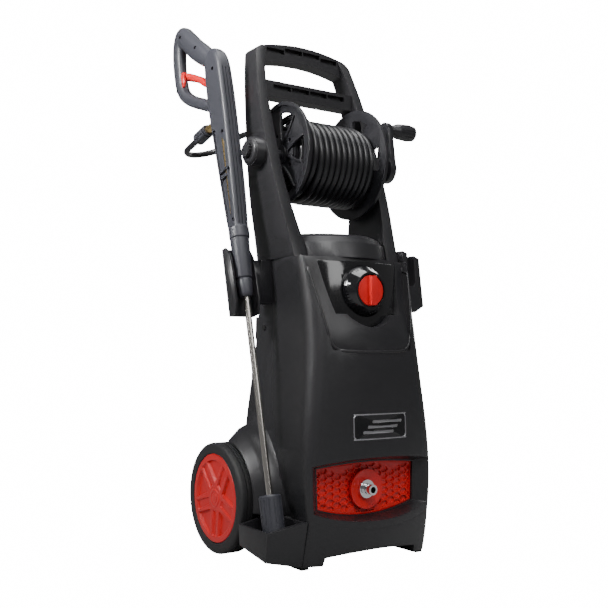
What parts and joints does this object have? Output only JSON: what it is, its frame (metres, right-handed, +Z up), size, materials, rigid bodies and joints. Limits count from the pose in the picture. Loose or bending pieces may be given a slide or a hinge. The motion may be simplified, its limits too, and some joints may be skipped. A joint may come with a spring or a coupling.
{
  "type": "pressure washer",
  "caption": "Upright wheeled electric pressure washer with a hose reel between its handle legs, a parked spray gun and lance, a rotary switch and a front water inlet.",
  "frame": {"origin": "on the floor, under the middle of the object's box, the free hose left out", "axes": "+Z up, -Y towards the front with the inlet and switch, +X to the side with the reel's crank"},
  "size_m": [0.446, 0.4644, 1.0334],
  "materials": {
    "casing_plastic": "fine moulded texture, matte charcoal black",
    "panel_gloss": "polished black",
    "red_plastic": "satin bright red",
    "gun_plastic": "satin blue-grey black",
    "reel_plastic": "satin black",
    "tyre_rubber": "moulded black",
    "hose_rubber": "smooth satin black",
    "foot_rubber": "plain black",
    "stainless": "polished stainless tube",
    "chrome": "bright chrome",
    "brass": "machined brass",
    "steel": "turned steel",
    "screw_black": "blackened",
    "motor_alloy": "cast alloy"
  },
  "bodies": {
    "root": {"base_tray": "casing_plastic", "lance_pocket": "casing_plastic", "front_cover": "casing_plastic", "rear_cover": "casing_plastic", "top_cover": "casing_plastic", "control_panel": "panel_gloss", "switch_bezel": "panel_gloss", "rotary_switch": "reel_plastic", "inlet_grille": "red_plastic", "inlet_dish": "red_plastic", "inlet_coupling": "chrome", "left_upright": "casing_plastic", "right_upright": "casing_plastic", "top_handle": "casing_plastic", "cross_bar": "casing_plastic", "swivel_nut": "casing_plastic", "lance_clip": "casing_plastic", "cable_hook": "casing_plastic", "cable_gland": "casing_plastic", "wheel_axle": "steel", "axle_clips": "steel", "front_feet": "foot_rubber", "motor_housing": "motor_alloy", "pump_block": "motor_alloy", "pistons": "steel", "rubber_mounts": "foot_rubber", "capacitor": "reel_plastic", "pressure_switch": "reel_plastic", "pump_pipes": "brass", "casing_screws": "screw_black", "hose_tail": "hose_rubber"},
    "left_wheel": {"left_tyre": "tyre_rubber", "left_rim": "reel_plastic", "left_wheel_cover": "red_plastic"},
    "right_wheel": {"right_tyre": "tyre_rubber", "right_rim": "reel_plastic", "right_wheel_cover": "red_plastic"},
    "power_knob": {"power_knob": "red_plastic"},
    "rotor": {"motor_shaft": "steel", "cooling_fan": "reel_plastic", "wobble_plate": "steel"},
    "reel": {"reel_drum": "reel_plastic", "left_flange": "reel_plastic", "right_flange": "reel_plastic", "hose_coil": "hose_rubber", "crank_arm": "reel_plastic"},
    "crank_knob": {"crank_knob": "reel_plastic"},
    "gun": {"gun_left_shell": "gun_plastic", "gun_right_shell": "gun_plastic", "gun_screws": "screw_black", "trigger_pin": "steel", "gun_valve": "brass", "hose_nut": "gun_plastic", "lance_sleeve": "gun_plastic", "lance_ferrule": "gun_plastic", "lance_tube": "stainless", "nozzle_tip": "brass"},
    "trigger": {"trigger": "red_plastic"},
    "nozzle_cap": {"nozzle_cap": "gun_plastic"}
  },
  "joints": [
    {"name": "left_wheel_spin", "type": "hinge", "parent": "root", "child": "left_wheel", "pos_m": [-0.196, 0.00687, 0.1], "axis": [1, 0, 0], "continuous": true},
    {"name": "right_wheel_spin", "type": "hinge", "parent": "root", "child": "right_wheel", "pos_m": [0.15, 0.00687, 0.1], "axis": [1, 0, 0], "continuous": true},
    {"name": "power_switch_turn", "type": "hinge", "parent": "root", "child": "power_knob", "pos_m": [-0.023, -0.20613, 0.473], "axis": [0, 1, 0], "range_deg": [0, 50]},
    {"name": "motor_spin", "type": "hinge", "parent": "root", "child": "rotor", "pos_m": [-0.023, -0.09613, 0.3], "axis": [0, 0, 1], "continuous": true},
    {"name": "reel_spin", "type": "hinge", "parent": "root", "child": "reel", "pos_m": [-0.023, -0.04113, 0.734], "axis": [1, 0, 0], "continuous": true},
    {"name": "crank_knob_spin", "type": "hinge", "parent": "reel", "child": "crank_knob", "pos_m": [0.177, -0.04113, 0.818], "axis": [1, 0, 0], "continuous": true},
    {"name": "gun_lift", "type": "slide", "parent": "root", "child": "gun", "axis": [0, 0.2306, 0.973], "range_m": [0, 0.1]},
    {"name": "trigger_pull", "type": "hinge", "parent": "gun", "child": "trigger", "pos_m": [-0.191, 0.05976, 0.89336], "axis": [1, 0, 0], "range_deg": [0, 8], "stiffness_Nm_per_rad": 2, "springref_deg": -8.59},
    {"name": "nozzle_turn", "type": "hinge", "parent": "gun", "child": "nozzle_cap", "pos_m": [-0.191, -0.15305, 0.09081], "axis": [0, 0.2306, 0.973], "range_deg": [-90, 90]}
  ]
}
